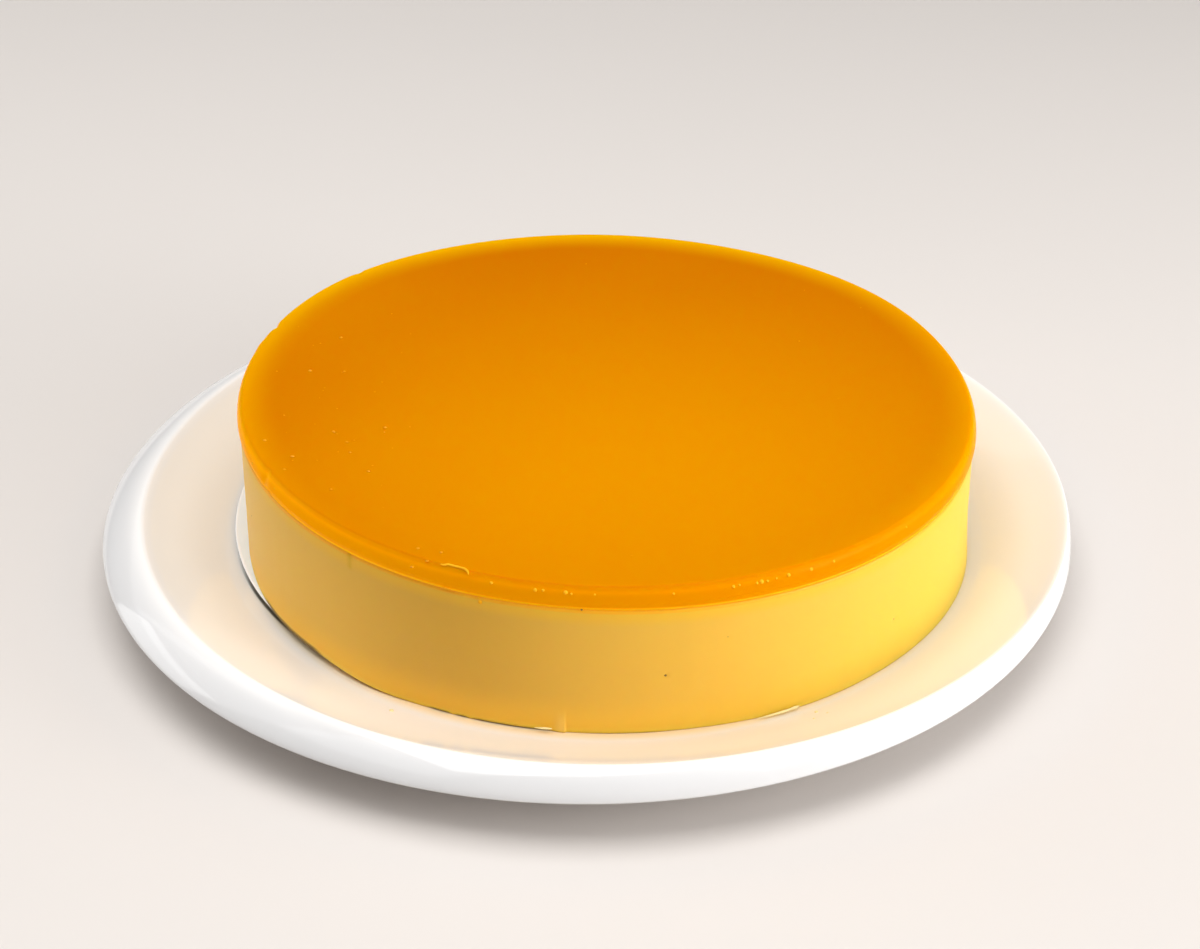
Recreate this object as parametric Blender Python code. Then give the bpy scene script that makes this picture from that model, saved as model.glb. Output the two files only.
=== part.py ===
"""Mango mousse cake with a jelly top, on a thin cake board, on a round glazed plate.

Metres, +Z up. The origin is on the table, under the middle of the plate's outer edge.
Every piece is a turned solid: an outline of (radius, height) points spun about its own axis.
"""

import math

import bmesh
import bpy

# Driving dimensions
CAKE_RADIUS = 0.075
CAKE_HEIGHT = 0.0309
JELLY_THICKNESS = 0.0048
TOP_SLOPE_DEGREES = 1.4
PLATE_RADIUS = 0.1008
RIM_DROP = 0.0047
RIM_FLATNESS = 1.45
LIP_ABOVE_CAKE_BASE = 0.0060
GAP = 0.0003

# Plate: floor, raised lip, rolled rim and foot ring
PLATE_FLOOR_Z = 0.0070
FLOOR_THICKNESS = 0.0040
FLOOR_RADIUS = 0.0790
LIP_RADIUS = 0.0963
WELL_POWER = 1.3
CREST_ROUND = 0.0018
CREST_START_DEGREES = 125.0
RIM_UNDERCUT = 0.0022
RIM_UNDERCUT_DROP = 0.0009
UNDERSIDE_POWER = 1.8
FOOT_OUTER_RADIUS = 0.0635
FOOT_INNER_RADIUS = 0.0600
FOOT_CHAMFER = 0.0004
FOOT_FLARE = 0.0022

# The hand-finished rim is wider on one side: the lip and everything inside it stand off centre
LIP_CENTRE = (0.0036, 0.0)

# Cake board, a little off the cake's own axis, so that it shows past the cake at one side
BOARD_RADIUS = 0.0753
BOARD_THICKNESS = 0.0010
BOARD_EDGE_ROUND = 0.0003
CAKE_CENTRE = (LIP_CENTRE[0] + 0.0006, LIP_CENTRE[1] - 0.0029)
BOARD_CENTRE = (CAKE_CENTRE[0] - 0.0032, CAKE_CENTRE[1] + 0.0065)

# Mousse and jelly: the top was set on a slope, falling towards +X, on a level base
MOUSSE_BASE_RADIUS = CAKE_RADIUS - 0.0002
MOUSSE_TOP_RADIUS = CAKE_RADIUS - 0.0006
MOUSSE_EDGE_ROUND = 0.0006
JELLY_BASE_RADIUS = CAKE_RADIUS - 0.0005
JELLY_EDGE_ROUND = 0.0012
JELLY_FOOT_ROUND = 0.0004

# Heights that follow from the stack
BOARD_Z = PLATE_FLOOR_Z + GAP
CAKE_BASE_Z = BOARD_Z + BOARD_THICKNESS + GAP
CAKE_TOP_Z = CAKE_BASE_Z + CAKE_HEIGHT
JELLY_Z = CAKE_TOP_Z - JELLY_THICKNESS
MOUSSE_TOP_Z = JELLY_Z - GAP
LIP_Z = CAKE_BASE_Z + LIP_ABOVE_CAKE_BASE
RIM_EDGE_Z = LIP_Z - RIM_DROP
UNDERSIDE_Z = PLATE_FLOOR_Z - FLOOR_THICKNESS

TURN_STEPS = 96


def arc(centre, radii, start, end, steps):
    """Points (radius, height) on an upright ellipse, from start to end in degrees."""
    points = []
    for i in range(steps + 1):
        angle = math.radians(start + (end - start) * i / steps)
        points.append((centre[0] + radii[0] * math.cos(angle),
                       centre[1] + radii[1] * math.sin(angle)))
    return points


def flat_roll(centre, radii, power, steps):
    """Points down a quarter ellipse, from its top out to its end, whose sine and cosine are
    raised to a power: above 1 it is flatter midway and turns more sharply at both ends."""
    points = []
    for i in range(steps + 1):
        angle = math.pi / 2.0 * i / steps
        points.append((centre[0] + radii[0] * math.sin(angle) ** power,
                       centre[1] + radii[1] * max(math.cos(angle), 0.0) ** power))
    return points


def power_curve(start, end, power, steps):
    """Points from start to end whose height grows with the given power of the way along."""
    points = []
    for i in range(steps + 1):
        way = i / steps
        points.append((start[0] + (end[0] - start[0]) * way,
                       start[1] + (end[1] - start[1]) * way ** power))
    return points


def plate_top():
    """The flat floor and the side of the well, rising ever more steeply to the lip."""
    crest = arc((LIP_RADIUS, LIP_Z - CREST_ROUND), (CREST_ROUND, CREST_ROUND),
                CREST_START_DEGREES, 90.0, 2)
    side = power_curve((FLOOR_RADIUS, PLATE_FLOOR_Z), crest[0], WELL_POWER, 6)
    return [(0.0, PLATE_FLOOR_Z)] + side + crest[1:]


def plate_rim():
    """The rim: over from the lip, down a nearly flat slope to the edge and back in under it."""
    roll = flat_roll((LIP_RADIUS, RIM_EDGE_Z), (PLATE_RADIUS - LIP_RADIUS, RIM_DROP),
                     RIM_FLATNESS, 8)
    under = arc((PLATE_RADIUS - RIM_UNDERCUT, RIM_EDGE_Z), (RIM_UNDERCUT, RIM_UNDERCUT_DROP),
                0.0, -75.0, 3)
    return roll[1:] + under[1:]


def plate_underside(edge):
    """The underside from the rim's edge in to the foot ring, then the recess inside it."""
    foot_top = (FOOT_OUTER_RADIUS + FOOT_FLARE, UNDERSIDE_Z)
    slope = power_curve(foot_top, edge, UNDERSIDE_POWER, 5)
    slope.reverse()
    foot = [(FOOT_OUTER_RADIUS, FOOT_CHAMFER),
            (FOOT_OUTER_RADIUS - FOOT_CHAMFER, 0.0),
            (FOOT_INNER_RADIUS + FOOT_CHAMFER, 0.0),
            (FOOT_INNER_RADIUS, FOOT_CHAMFER),
            (FOOT_INNER_RADIUS - FOOT_FLARE, UNDERSIDE_Z)]
    return slope[1:] + foot + [(0.0, UNDERSIDE_Z)]


def plate_outline():
    """The whole section of the plate, from its middle out over the rim and back below."""
    rim = plate_rim()
    return plate_top() + rim + plate_underside(rim[-1])


def disc_outline(base_z, top_z, base_radius, top_radius, base_round, top_round, steps):
    """A solid disc with rounded edges, from the middle of its top to the middle of its base."""
    top = arc((top_radius - top_round, top_z - top_round), (top_round, top_round), 90.0, 0.0, steps)
    base = arc((base_radius - base_round, base_z + base_round), (base_round, base_round),
               0.0, -90.0, steps)
    return [(0.0, top_z)] + top + base + [(0.0, base_z)]


def turned_mesh(name, outline):
    """Spin an outline about +Z, and join the seam and both ends on the axis."""
    shape = bmesh.new()
    points = [shape.verts.new((radius, 0.0, height)) for radius, height in outline]
    edges = [shape.edges.new(pair) for pair in zip(points, points[1:])]
    bmesh.ops.spin(shape, geom=points + edges, cent=(0.0, 0.0, 0.0), axis=(0.0, 0.0, 1.0),
                   angle=2.0 * math.pi, steps=TURN_STEPS)
    bmesh.ops.remove_doubles(shape, verts=shape.verts, dist=1e-6)
    bmesh.ops.recalc_face_normals(shape, faces=shape.faces)
    mesh = bpy.data.meshes.new(name)
    shape.to_mesh(mesh)
    shape.free()
    mesh.shade_smooth()
    mesh.set_sharp_from_angle(angle=math.radians(40.0))
    return mesh


def widen_rim(mesh, shift):
    """Move the rim outside the lip sideways, more towards its edge, leaving the lip in place."""
    for vertex in mesh.vertices:
        radius = math.hypot(vertex.co.x, vertex.co.y)
        way = min(max((radius - LIP_RADIUS) / (PLATE_RADIUS - LIP_RADIUS), 0.0), 1.0)
        vertex.co.x += shift[0] * way
        vertex.co.y += shift[1] * way


def slope_top(mesh):
    """Let a layer of the cake fall towards +X, less and less down to the level base."""
    fall = math.tan(math.radians(TOP_SLOPE_DEGREES))
    for vertex in mesh.vertices:
        way = min(max((vertex.co.z - CAKE_BASE_Z) / (MOUSSE_TOP_Z - CAKE_BASE_Z), 0.0), 1.0)
        vertex.co.z -= vertex.co.x * fall * way


def finish(name, colour, roughness):
    """A smooth, non-metallic material of one colour (linear red, green, blue)."""
    material = bpy.data.materials.new(name)
    material.use_nodes = True
    shader = material.node_tree.nodes["Principled BSDF"]
    shader.inputs["Base Color"].default_value = (*colour, 1.0)
    shader.inputs["Roughness"].default_value = roughness
    shader.inputs["Metallic"].default_value = 0.0
    return material


def place(name, mesh, centre, material):
    """Put a turned mesh in the scene with its axis over the given centre."""
    piece = bpy.data.objects.new(name, mesh)
    piece.location = (centre[0], centre[1], 0.0)
    piece.data.materials.append(material)
    bpy.context.scene.collection.objects.link(piece)


def make_plate():
    mesh = turned_mesh("plate", plate_outline())
    widen_rim(mesh, (-LIP_CENTRE[0], -LIP_CENTRE[1]))
    place("plate", mesh, LIP_CENTRE, finish("glazed_white", (0.85, 0.83, 0.79), 0.12))


def make_cake_board():
    outline = disc_outline(BOARD_Z, BOARD_Z + BOARD_THICKNESS, BOARD_RADIUS, BOARD_RADIUS,
                           BOARD_EDGE_ROUND, BOARD_EDGE_ROUND, 1)
    mesh = turned_mesh("cake_board", outline)
    place("cake_board", mesh, BOARD_CENTRE, finish("board_white", (0.84, 0.82, 0.79), 0.35))


def make_mousse():
    outline = disc_outline(CAKE_BASE_Z, MOUSSE_TOP_Z, MOUSSE_BASE_RADIUS, MOUSSE_TOP_RADIUS,
                           MOUSSE_EDGE_ROUND, MOUSSE_EDGE_ROUND, 2)
    mesh = turned_mesh("mousse", outline)
    slope_top(mesh)
    place("mousse", mesh, CAKE_CENTRE, finish("mousse_yellow", (0.90, 0.55, 0.13), 0.42))


def make_jelly():
    outline = disc_outline(JELLY_Z, CAKE_TOP_Z, JELLY_BASE_RADIUS, CAKE_RADIUS,
                           JELLY_FOOT_ROUND, JELLY_EDGE_ROUND, 4)
    mesh = turned_mesh("jelly", outline)
    slope_top(mesh)
    place("jelly", mesh, CAKE_CENTRE, finish("jelly_orange", (0.80, 0.26, 0.005), 0.10))


def main():
    for old in list(bpy.data.objects):
        bpy.data.objects.remove(old, do_unlink=True)
    make_plate()
    make_cake_board()
    make_mousse()
    make_jelly()


main()
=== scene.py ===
"""The looks of a mousse cake with a jelly top, on its card and its glazed plate. Metres, +Z up.

Each main piece is an outline of radii and heights turned about its own axis, then moved in, out
and down by bell curves and smooth steps. A place round the cake is given in degrees to the right
of its front. The marks of a piece are numbers on its points that steer its material.
"""

import math

import bpy
import numpy as np
from mathutils import Matrix, Vector


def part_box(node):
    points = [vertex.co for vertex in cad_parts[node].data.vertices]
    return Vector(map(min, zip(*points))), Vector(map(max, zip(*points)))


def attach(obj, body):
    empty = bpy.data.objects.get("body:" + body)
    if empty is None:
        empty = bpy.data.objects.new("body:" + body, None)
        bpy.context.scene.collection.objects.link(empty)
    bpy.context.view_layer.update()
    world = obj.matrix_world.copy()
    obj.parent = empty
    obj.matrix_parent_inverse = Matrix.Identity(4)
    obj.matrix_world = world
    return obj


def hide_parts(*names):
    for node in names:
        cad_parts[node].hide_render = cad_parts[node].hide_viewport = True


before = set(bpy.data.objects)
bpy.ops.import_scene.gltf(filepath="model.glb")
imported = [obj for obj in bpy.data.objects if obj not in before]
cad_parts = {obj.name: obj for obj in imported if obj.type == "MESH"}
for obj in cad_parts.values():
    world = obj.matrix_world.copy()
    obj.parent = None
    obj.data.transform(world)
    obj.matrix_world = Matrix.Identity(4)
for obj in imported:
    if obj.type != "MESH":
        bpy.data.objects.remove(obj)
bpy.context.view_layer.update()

MM = 0.001
UPWARD = (0.0, 0.0, 1.0)

# Places and sizes that the frame gives
plate_low, plate_high = (np.array(corner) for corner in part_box("plate"))
board_low, board_high = (np.array(corner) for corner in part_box("cake_board"))
jelly_low, jelly_high = (np.array(corner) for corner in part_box("jelly"))
cake_centre = (jelly_low[:2] + jelly_high[:2]) / 2
board_centre = (board_low[:2] + board_high[:2]) / 2
CAKE_RADIUS = (jelly_high[0] - jelly_low[0]) / 2
BOARD_RADIUS = (board_high[0] - board_low[0]) / 2
PLATE_RADIUS = (plate_high[0] - plate_low[0]) / 2
BOARD_Z, BOARD_TOP_Z = board_low[2], board_high[2]
CAKE_BASE_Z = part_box("mousse")[0][2]
LIP_Z = plate_high[2]

# Plate section, the same as the solid's
LIP_CENTRE = np.array((3.6 * MM, 0.0))
LIP_RADIUS = 96.3 * MM
FLOOR_RADIUS = 79.0 * MM
FLOOR_Z = 7.0 * MM
UNDERSIDE_Z = 3.0 * MM
WELL_POWER = 1.3
CREST_ROUND = 1.8 * MM
CREST_START_DEGREES = 125.0
RIM_DROP = 4.7 * MM
RIM_FLATNESS = 1.45
RIM_UNDERCUT = 2.2 * MM
RIM_UNDERCUT_DROP = 0.9 * MM
RIM_UNDERCUT_END_DEGREES = -75.0
UNDERSIDE_POWER = 1.8
FOOT_OUTER_RADIUS = 63.5 * MM
FOOT_INNER_RADIUS = 60.0 * MM
FOOT_CHAMFER = 0.4 * MM
FOOT_FLARE = 2.2 * MM
UNGLAZED_HEIGHT = 0.35 * MM

# Cake section: the slope, the seam and the base are the solids'; heights are over its middle
TOP_SLOPE = math.tan(math.radians(1.4))
SOLID_EDGE_ROUND = 1.2 * MM
CAKE_TOP_Z = jelly_high[2] - TOP_SLOPE * (CAKE_RADIUS - SOLID_EDGE_ROUND)
JELLY_THICKNESS = 4.8 * MM
SEAM_Z = CAKE_TOP_Z - JELLY_THICKNESS
MOUSSE_HEIGHT = SEAM_Z - CAKE_BASE_Z
MOUSSE_BASE_RADIUS = CAKE_RADIUS - 0.2 * MM
MOUSSE_TOP_RADIUS = CAKE_RADIUS - 0.35 * MM
JELLY_BASE_RADIUS = CAKE_RADIUS - 0.55 * MM
SHOULDER_IN, SHOULDER_DOWN = 1.5 * MM, 3.2 * MM

# Columns of points round each turned piece
PLATE_COLUMNS = 400
BOARD_COLUMNS = 400
MOUSSE_COLUMNS = 960
JELLY_COLUMNS = 900


# -------- curves

def around(columns):
    """Angles evenly spaced once around, without repeating the first."""
    return np.linspace(0.0, 2.0 * math.pi, columns, endpoint=False)


def from_front(degrees):
    """The turning angle of a place so many degrees round to the right of the cake's front."""
    return np.radians(np.asarray(degrees) - 90.0)


def apart(angles, degrees=0.0):
    """How many degrees each angle is to the right of a place around the cake, or of its front."""
    return np.degrees(np.angle(np.exp(1j * (angles - from_front(degrees)))))


def along_edge(angles, degrees):
    """How far each angle is to the right of a place, measured along the cake's edge."""
    return np.radians(apart(angles, degrees)) * CAKE_RADIUS


def hump(distance, width):
    """A bell curve: 1 at no distance, and e to the -(distance / width)^2."""
    return np.exp(-(distance / width) ** 2)


def smooth_step(low, high, value):
    """0 below low, 1 above high, and 3t^2 - 2t^3 of the way t between them."""
    way = np.clip((value - low) / (high - low), 0.0, 1.0)
    return way * way * (3.0 - 2.0 * way)


def window(rise, fall, value):
    """1 between two stretches, with a smooth step up over the first and down over the second."""
    return smooth_step(*rise, value) * (1.0 - smooth_step(*fall, value))


def crowded(columns, degrees, width, gain):
    """Angles once around, closer together by a place: their density is 1 + gain times a hump."""
    fine = np.linspace(0.0, 2.0 * math.pi, 20000)
    crowd = np.cumsum(1.0 + gain * hump(apart(fine, degrees), width))
    crowd = (crowd - crowd[0]) / (crowd[-1] - crowd[0])
    return np.interp(np.linspace(0.0, 1.0, columns, endpoint=False), crowd, fine)


def arc(centre, radii, start, end, count):
    """Radii and heights of count points on an upright ellipse, from start to end degrees."""
    angle = np.radians(np.linspace(start, end, count))
    return np.stack((centre[0] + radii[0] * np.cos(angle), centre[1] + radii[1] * np.sin(angle)))


def power_curve(start, end, power, count):
    """Radii and heights from start to end, the height growing with a power of the way along."""
    way = np.linspace(0.0, 1.0, count)
    return np.stack((start[0] + (end[0] - start[0]) * way,
                     start[1] + (end[1] - start[1]) * way ** power))


def flat_roll(centre, radii, power, count):
    """Radii and heights down a quarter ellipse whose sine and cosine are raised to a power, so
    that above 1 it is flatter midway and turns more sharply at both ends."""
    angle = np.linspace(math.pi / 2, 0.0, count)
    cosine, sine = np.clip(np.cos(angle), 0.0, 1.0), np.clip(np.sin(angle), 0.0, 1.0)
    return np.stack((centre[0] + radii[0] * cosine ** power, centre[1] + radii[1] * sine ** power))


def straight(start, end, count):
    """Radii and heights evenly spaced from start to end, both included."""
    return power_curve(start, end, 1.0, count)


def joined(*runs):
    """One outline from several runs of points, each starting where the last one ended."""
    return np.concatenate([runs[0]] + [run[:, 1:] for run in runs[1:]], axis=1)


def turned(radius, height, angles, centre):
    """Points around a centre: x and y are the radius times the angle's cosine and sine."""
    radius, height, angles = np.broadcast_arrays(radius, height, angles)
    return np.stack((centre[0] + radius * np.cos(angles), centre[1] + radius * np.sin(angles),
                     height), axis=-1)


# -------- the cake's own form

# Bulges of the whole cake at its back left and back right: degrees round, width, how far out
BULGES = ((-131.0, 22.0, 1.45 * MM), (129.0, 22.0, 1.15 * MM))


def out_of_round(angles):
    """How far the whole cake stands out past a circle: the sum of a hump for each bulge."""
    return sum(out * hump(apart(angles, place), width) for place, width, out in BULGES)


def sloped(points):
    """Level places of the cake on its slope: they fall to the right, all of it above the seam
    between the layers and less and less down to the base."""
    way = np.clip((points[..., 2] - CAKE_BASE_Z) / MOUSSE_HEIGHT, 0.0, 1.0)
    fall = (points[..., 0] - cake_centre[0]) * TOP_SLOPE * way
    return np.concatenate((points[..., :2], points[..., 2:] - fall[..., None]), axis=-1)


def around_cake(degrees, reach, height):
    """Points at degrees round from the front, so far from the cake's axis and so high."""
    angles = from_front(degrees)
    return sloped(turned(reach + out_of_round(angles), height, angles, cake_centre))


def outward(degrees, tilt=math.pi / 2):
    """Directions out from the cake's axis, so many radians over from straight up."""
    angles, tilt = np.broadcast_arrays(from_front(degrees), tilt)
    return np.stack((np.sin(tilt) * np.cos(angles), np.sin(tilt) * np.sin(angles), np.cos(tilt)),
                    axis=-1)


# -------- mesh making

def mesh_object(name, skins, smooth=True):
    """An object at the origin from skins: each is an array of points and a list of face arrays."""
    starts = np.cumsum([0] + [len(points) for points, _ in skins[:-1]])
    corners = np.concatenate([start + faces.ravel() for start, (_, parts) in zip(starts, skins)
                              for faces in parts])
    sides = np.concatenate([np.full(len(faces), faces.shape[1])
                            for _, parts in skins for faces in parts])
    points = np.concatenate([points for points, _ in skins])
    mesh = bpy.data.meshes.new(name)
    mesh.vertices.add(len(points))
    mesh.vertices.foreach_set("co", points.astype(np.float32).ravel())
    mesh.loops.add(len(corners))
    mesh.loops.foreach_set("vertex_index", corners.astype(np.int32))
    mesh.polygons.add(len(sides))
    mesh.polygons.foreach_set("loop_start", (np.cumsum(sides) - sides).astype(np.int32))
    mesh.polygons.foreach_set("use_smooth", np.full(len(sides), smooth))
    mesh.update(calc_edges=True)
    piece = bpy.data.objects.new(name, mesh)
    bpy.context.scene.collection.objects.link(piece)
    return piece


def closed_skin(grid):
    """A closed skin over a grid of rows, from the top pole to the base pole, and columns around.

    The first and last rows are each drawn together into one point, and the columns close up.
    """
    rows, columns = grid.shape[:2]
    inner = grid[1:-1].reshape(-1, 3)
    top, base = len(inner), len(inner) + 1
    points = np.vstack((inner, grid[0].mean(axis=0), grid[-1].mean(axis=0)))
    here = np.arange(columns)
    after = (here + 1) % columns
    above = (np.arange(rows - 3) * columns)[:, None]
    below = above + columns
    quads = np.stack((above + here, below + here, below + after, above + after), axis=-1)
    last = (rows - 3) * columns
    caps = np.vstack((np.stack((np.full(columns, top), here, after), axis=-1),
                      np.stack((np.full(columns, base), last + after, last + here), axis=-1)))
    return points, [quads.reshape(-1, 4), caps]


def turned_surface(name, grid, **marks):
    """One object of one closed skin, with its marks.

    A mark has a number for each point of the grid, or one for each row or each column.
    """
    piece = mesh_object(name, [closed_skin(grid)])
    for mark, values in marks.items():
        values = np.broadcast_to(values, grid.shape[:2])
        flat = np.concatenate((values[1:-1].ravel(), [values[0].mean(), values[-1].mean()]))
        attribute = piece.data.attributes.new(mark, "FLOAT", "POINT")
        attribute.data.foreach_set("value", flat.astype(np.float32))
    return piece


def domes(centres, normals, radii, rise, columns=10, rows=4):
    """Many small caps in one skin, each a flattened half ball on its own centre and normal.

    A point at turn t and lift l is its radius times cos l cos t and cos l sin t along two
    directions square to the normal, and its radius times its rise times sin l along it.
    """
    normals = np.broadcast_to(normals, centres.shape)
    steep = np.abs(normals[:, 2:3]) > 0.9
    side = np.cross(np.where(steep, (1.0, 0.0, 0.0), UPWARD), normals)
    side = side / np.linalg.norm(side, axis=1, keepdims=True)
    other = np.cross(normals, side)
    turn = around(columns)
    lift = np.linspace(0.0, math.pi / 2, rows, endpoint=False)[:, None]
    ring = np.stack((np.cos(lift) * np.cos(turn), np.cos(lift) * np.sin(turn),
                     np.sin(lift) + 0.0 * turn), axis=-1).reshape(-1, 3)
    unit = np.vstack((ring, UPWARD))
    flat = unit[None, :, 0:1] * side[:, None] + unit[None, :, 1:2] * other[:, None]
    proud = unit[None, :, 2:3] * normals[:, None]
    points = (centres[:, None] + radii[:, None, None] * flat
              + (radii * rise)[:, None, None] * proud)
    here = np.arange(columns)
    after = (here + 1) % columns
    below = (np.arange(rows - 1) * columns)[:, None]
    above = below + columns
    quads = np.stack((below + here, below + after, above + after, above + here), axis=-1)
    last = (rows - 1) * columns
    caps = np.stack((last + here, last + after, np.full(columns, rows * columns)), axis=-1)
    start = (np.arange(len(centres)) * len(unit))[:, None, None]
    return points.reshape(-1, 3), [(start + quads.reshape(-1, 4)).reshape(-1, 4),
                                   (start + caps).reshape(-1, 3),
                                   (start + here[::-1]).reshape(-1, columns)]


def strand(path, across, upward, columns):
    """A closed tube along a path of points, an ellipse across and upward in section.

    Both half widths are arrays along the path, and are nothing at its ends.
    """
    tangent = np.gradient(path, axis=0)
    tangent = tangent / np.linalg.norm(tangent, axis=1, keepdims=True)
    side = np.cross(tangent, UPWARD)
    side = side / np.linalg.norm(side, axis=1, keepdims=True)
    up = np.cross(side, tangent)
    turn = around(columns)[None, :, None]
    return closed_skin(path[:, None, :] + across[:, None, None] * np.cos(turn) * side[:, None, :]
                       + upward[:, None, None] * np.sin(turn) * up[:, None, :])


def smooth_path(stations, count):
    """A row of stations, one line of numbers each, drawn out evenly by straight steps and then
    averaged along itself with a bell as long as one step."""
    way = np.linspace(0.0, len(stations) - 1.0, count)
    drawn = np.stack([np.interp(way, np.arange(len(stations)), column) for column in stations.T],
                     axis=-1)
    bell = np.hanning(max(count // len(stations), 3) + 2)
    bell = bell / bell.sum()
    half = len(bell) // 2
    padded = np.vstack((np.repeat(drawn[:1], half, axis=0), drawn,
                        np.repeat(drawn[-1:], len(bell) - 1 - half, axis=0)))
    return np.stack([np.convolve(column, bell, "valid") for column in padded.T], axis=-1)


def tapered(count, power):
    """Widths along a strand, 1 in its middle and 0 at its ends: the root of 1 - t^power."""
    way = np.linspace(-1.0, 1.0, count)
    return np.sqrt(np.clip(1.0 - way ** power, 0.0, 1.0))


# -------- plate

def plate_section():
    """Floor, side of the well, crest, rolled rim, underside and foot, as the solid has them."""
    crest = arc((LIP_RADIUS, LIP_Z - CREST_ROUND), (CREST_ROUND, CREST_ROUND),
                CREST_START_DEGREES, 90.0, 9)
    side = power_curve((FLOOR_RADIUS, FLOOR_Z), crest[:, 0], WELL_POWER, 26)
    floor = straight((0.0, FLOOR_Z), (FLOOR_RADIUS, FLOOR_Z), 8)
    edge_z = LIP_Z - RIM_DROP
    roll = flat_roll((LIP_RADIUS, edge_z), (PLATE_RADIUS - LIP_RADIUS, RIM_DROP), RIM_FLATNESS, 36)
    under = arc((PLATE_RADIUS - RIM_UNDERCUT, edge_z), (RIM_UNDERCUT, RIM_UNDERCUT_DROP),
                0.0, RIM_UNDERCUT_END_DEGREES, 10)
    foot_top = (FOOT_OUTER_RADIUS + FOOT_FLARE, UNDERSIDE_Z)
    slope = power_curve(foot_top, under[:, -1], UNDERSIDE_POWER, 24)[:, ::-1]
    outer_foot = straight(foot_top, (FOOT_OUTER_RADIUS, FOOT_CHAMFER), 6)
    outer_edge = arc((FOOT_OUTER_RADIUS - FOOT_CHAMFER, FOOT_CHAMFER),
                     (FOOT_CHAMFER, FOOT_CHAMFER), 0.0, -90.0, 4)
    ring = straight(outer_edge[:, -1], (FOOT_INNER_RADIUS + FOOT_CHAMFER, 0.0), 4)
    inner_edge = arc((FOOT_INNER_RADIUS + FOOT_CHAMFER, FOOT_CHAMFER),
                     (FOOT_CHAMFER, FOOT_CHAMFER), -90.0, -180.0, 4)
    inner_foot = straight(inner_edge[:, -1], (FOOT_INNER_RADIUS - FOOT_FLARE, UNDERSIDE_Z), 6)
    recess = straight(inner_foot[:, -1], (0.0, UNDERSIDE_Z), 8)
    return joined(floor, side, crest, roll, under, slope, outer_foot, outer_edge, ring,
                  inner_edge, inner_foot, recess)


def make_plate():
    """The section turned about the lip's axis, the rim beyond the lip drawn to one side.

    Its marks are the well inside the lip, the crest of the lip, the stretch beside the card at
    the left and the bare foot.
    """
    section = plate_section()
    angles = around(PLATE_COLUMNS)
    radius, height = section[0][:, None], section[1][:, None]
    grid = turned(radius, height, angles, LIP_CENTRE)
    beyond_lip = np.clip((radius - LIP_RADIUS) / (PLATE_RADIUS - LIP_RADIUS), 0.0, 1.0)
    grid[..., :2] -= beyond_lip[..., None] * LIP_CENTRE
    up_to_crest = np.arange(len(height))[:, None] <= np.argmax(height)
    return turned_surface(
        "glazed_plate", grid,
        well=up_to_crest * (1.0 - smooth_step(-2.6 * MM, -0.7 * MM, radius - LIP_RADIUS)),
        crest=hump(radius - LIP_RADIUS + 0.2 * MM, 1.5 * MM) * (height > LIP_Z - 2.0 * MM),
        beside_card=window((-80.0, -66.0), (-60.0, -52.0), apart(angles)),
        bare_foot=height < UNGLAZED_HEIGHT)


# -------- cake board

def make_board():
    """A thin turned disc with rounded edges, its rim waving by hundredths of a millimetre.

    Its marks are the cut edge, the rim along the top of it, and where the cake overhangs it, which
    is painted in shade.
    """
    edge_round = 0.35 * MM
    flat_radius, inner_radius = BOARD_RADIUS - edge_round, BOARD_RADIUS - 6.0 * MM
    upper = arc((flat_radius, BOARD_TOP_Z - edge_round), (edge_round, edge_round), 90.0, 0.0, 7)
    lower = arc((flat_radius, BOARD_Z + edge_round), (edge_round, edge_round), 0.0, -90.0, 5)
    section = joined(straight((0.0, BOARD_TOP_Z), (inner_radius, BOARD_TOP_Z), 6),
                     straight((inner_radius, BOARD_TOP_Z), (flat_radius, BOARD_TOP_Z), 20),
                     upper, straight(upper[:, -1], lower[:, 0], 3), lower,
                     straight((flat_radius, BOARD_Z), (0.0, BOARD_Z), 6))
    angles = around(BOARD_COLUMNS)
    radius, height = section[0][:, None], section[1][:, None]
    grid = turned(radius, height, angles, board_centre)
    wave = 0.03 * MM * (np.sin(5 * angles + 0.4) + np.sin(9 * angles + 2.0))
    grid[..., 2] += (radius / BOARD_RADIUS) ** 4 * wave

    edge = turned(BOARD_RADIUS, 0.0, angles, board_centre)[:, :2]
    past_cake = np.linalg.norm(edge - cake_centre, axis=-1) - CAKE_RADIUS
    # How far the cake covers or shades the card, for its painted shade
    covered = 1.0 - smooth_step(-0.9 * MM, 0.4 * MM, past_cake)
    shaded = 1.0 - smooth_step(0.5 * MM, 2.2 * MM, past_cake)
    below_top = height < BOARD_TOP_Z - 0.3 * MM
    return turned_surface(
        "white_cake_board", grid,
        cut_edge=below_top * (radius > BOARD_RADIUS - 0.4 * MM),
        rim=~below_top * (radius > BOARD_RADIUS - 0.5 * MM),
        soaked=np.where(below_top, shaded, covered) * (radius > BOARD_RADIUS - 3.0 * MM))


# -------- mousse

# The moulding tab at the foot: degrees round, and how far out
TAB_PLACE, TAB_OUT = -7.2, 0.24 * MM
# How the columns crowd by the tab: the width of the crowd in degrees, and its gain
CROWD_WIDTH, CROWD_GAIN = 4.0107, 3.0
# Breaks in the stretch of the foot that stands clear of the plate, degrees round, and their width
FOOT_GAPS, FOOT_GAP_WIDTH = (-23.4, -20.6), 0.57296
# A drip of jelly below the seam: degrees round, width, and heights between which it ends
DRIP_PLACE, DRIP_WIDTH, DRIP_END = -40.1, 0.50 * MM, (22.6 * MM, 23.4 * MM)
# How far the side stands out or in: at the right and left of its foot, at its front, low at right
SPREAD_OUT, SWELL_OUT, FRONT_IN, LOW_OUT = 0.85 * MM, 0.45 * MM, 1.05 * MM, 0.40 * MM
# How far the foot hangs past the card, and how much less it does where it stands clear
FOOT_HANG, FOOT_CLEAR = 1.57 * MM, 0.13 * MM
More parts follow.
